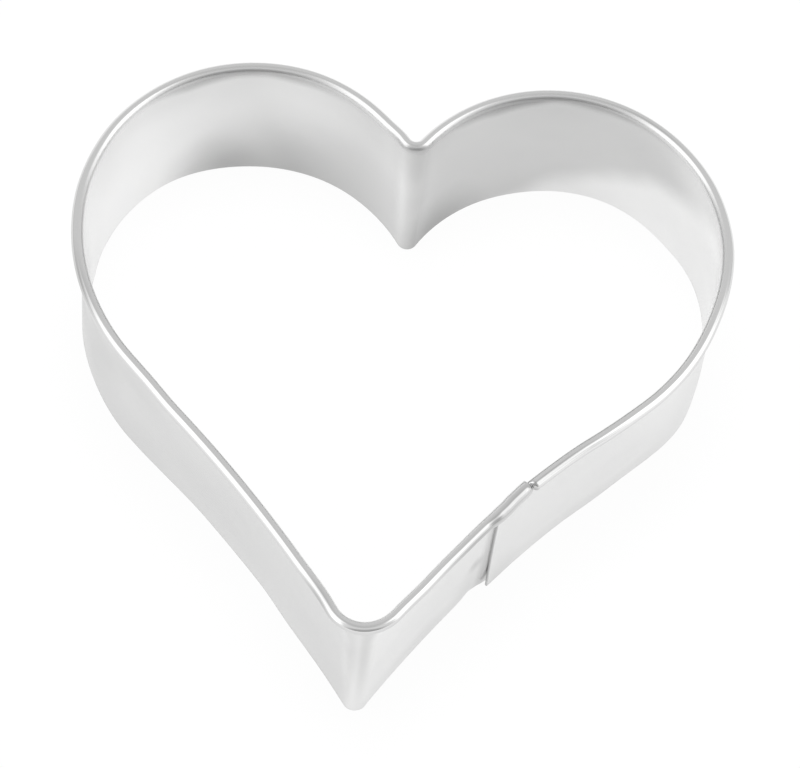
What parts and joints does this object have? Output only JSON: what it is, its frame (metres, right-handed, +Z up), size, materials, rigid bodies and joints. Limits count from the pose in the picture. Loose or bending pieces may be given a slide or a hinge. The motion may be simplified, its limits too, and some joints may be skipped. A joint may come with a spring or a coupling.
{
  "type": "cookie cutter",
  "caption": "Heart-shaped cookie cutter: a bent tinplate strip with a rolled top bead, a plain cutting edge and a lapped, spot-welded seam.",
  "frame": {"origin": "middle of the footprint, on the plane that the cutting edge rests on", "axes": "+Z up from the cutting edge to the rolled bead, -Y towards the tip of the heart, +X towards the lobe above the seam"},
  "size_m": [0.076, 0.0744, 0.0191],
  "materials": {
    "tinplate": "bright smooth tin plate",
    "weld": "dull resistance-weld metal"
  },
  "bodies": {
    "root": {"cutter_band": "tinplate", "lower_spot_weld": "weld", "upper_spot_weld": "weld"}
  },
  "joints": []
}
